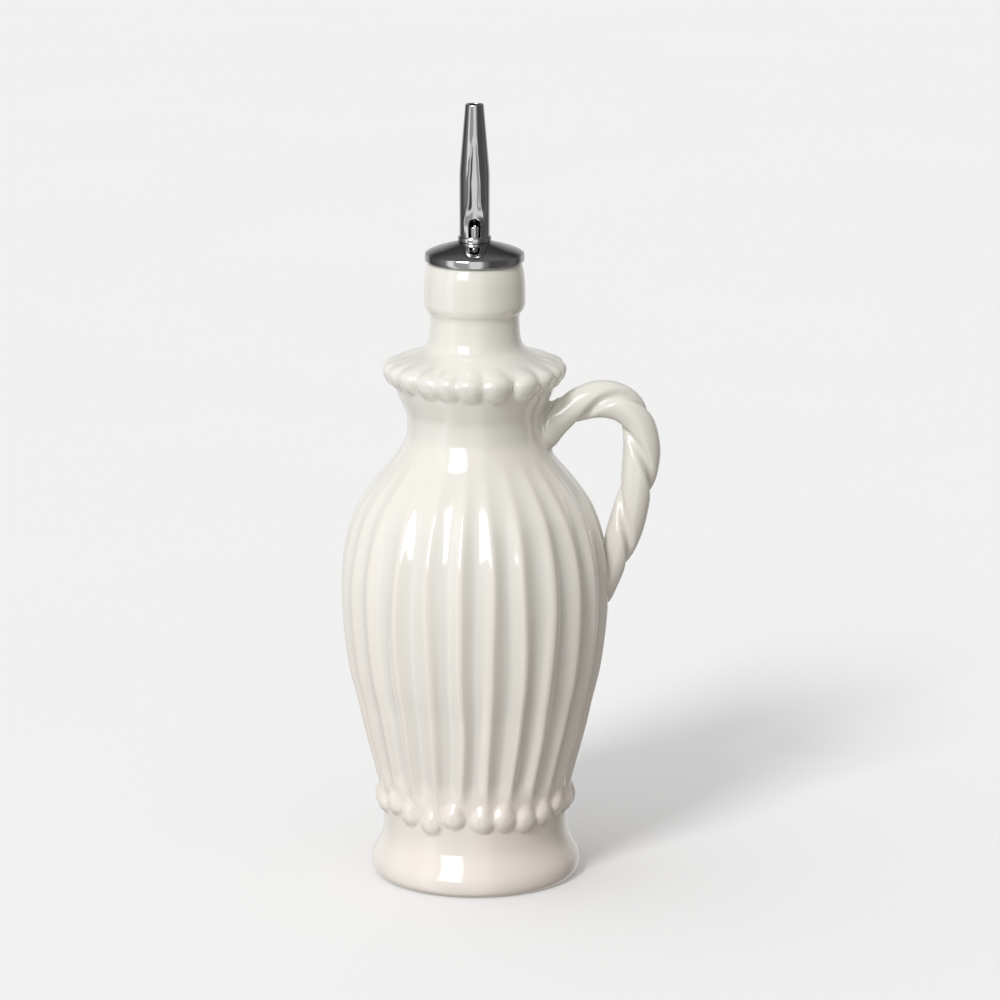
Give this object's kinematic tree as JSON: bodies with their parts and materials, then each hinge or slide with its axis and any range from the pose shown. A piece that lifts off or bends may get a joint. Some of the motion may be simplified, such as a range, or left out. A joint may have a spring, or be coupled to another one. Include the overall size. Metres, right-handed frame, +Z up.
{
  "type": "oil dispenser bottle",
  "caption": "Ribbed ceramic oil bottle with beaded waist and collar, a twisted side handle, and a steel pourer on a rubber stopper that lifts out of the neck.",
  "frame": {"origin": "centre of the foot, on the surface that the bottle stands on", "axes": "+Z up along the bottle's axis, +X towards the handle, -Y towards the pourer's vent"},
  "size_m": [0.1035, 0.087, 0.253],
  "materials": {
    "glaze": "glossy ivory-white glaze",
    "stopper_rubber": "matt moulded rubber",
    "polished_steel": "polished stainless steel"
  },
  "bodies": {
    "bottle": {"bottle": "glaze"},
    "stopper": {"stopper": "stopper_rubber"},
    "pourer": {"cap_disc": "polished_steel", "spout_collar": "polished_steel", "spout": "polished_steel", "vent_tube": "polished_steel"}
  },
  "joints": [
    {"name": "pourer_lift", "type": "slide", "parent": "bottle", "child": "stopper", "axis": [0, 0, 1], "range_m": [0, 0.05]},
    {"name": "spout_turn", "type": "hinge", "parent": "stopper", "child": "pourer", "pos_m": [0, 0, 0.2], "axis": [0, 0, 1], "continuous": true}
  ]
}
